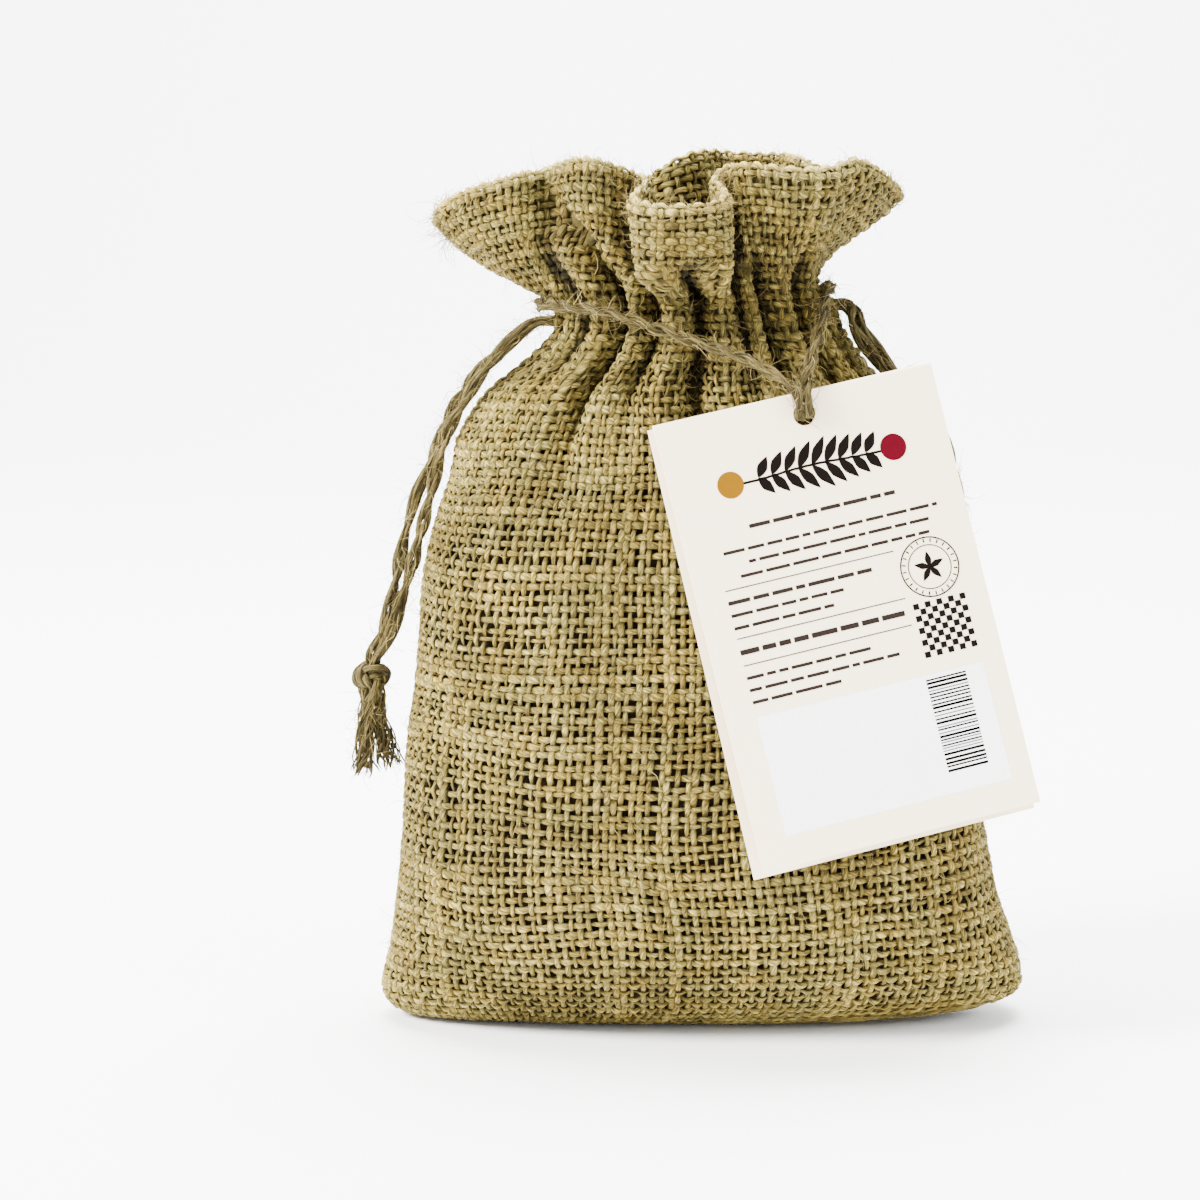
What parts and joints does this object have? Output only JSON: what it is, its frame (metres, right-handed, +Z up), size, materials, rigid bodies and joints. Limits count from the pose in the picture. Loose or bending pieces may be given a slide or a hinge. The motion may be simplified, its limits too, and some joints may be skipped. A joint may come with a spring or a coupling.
{
  "type": "filled jute drawstring pouch with hang tag",
  "caption": "Filled pouch of plain-woven jute with a pleated drawstring neck and ruffled mouth, knotted cords at its sides and a blank-backed folded card tag on a string round the neck.",
  "frame": {"origin": "middle of the pouch's flat base, on the surface that it stands on", "axes": "+Z up, from the base to the ruffle; -Y to the front, where the tag hangs; +X to the right seen from the front"},
  "size_m": [0.1408, 0.0856, 0.181],
  "materials": {
    "jute_cloth": "matte, coarse plain weave",
    "jute_twine": "matte, hairy twisted twine",
    "tag_card": "matte",
    "packed_contents": "matte"
  },
  "bodies": {
    "root": {"bag_cloth": "jute_cloth", "filling": "packed_contents", "drawstring_left": "jute_twine", "knot_left": "jute_twine", "tail_left_a": "jute_twine", "tail_left_b": "jute_twine", "drawstring_right": "jute_twine", "knot_right": "jute_twine", "tail_right_a": "jute_twine", "tail_right_b": "jute_twine", "tag": "tag_card", "tag_string": "jute_twine", "tag_knot": "jute_twine"}
  },
  "joints": []
}
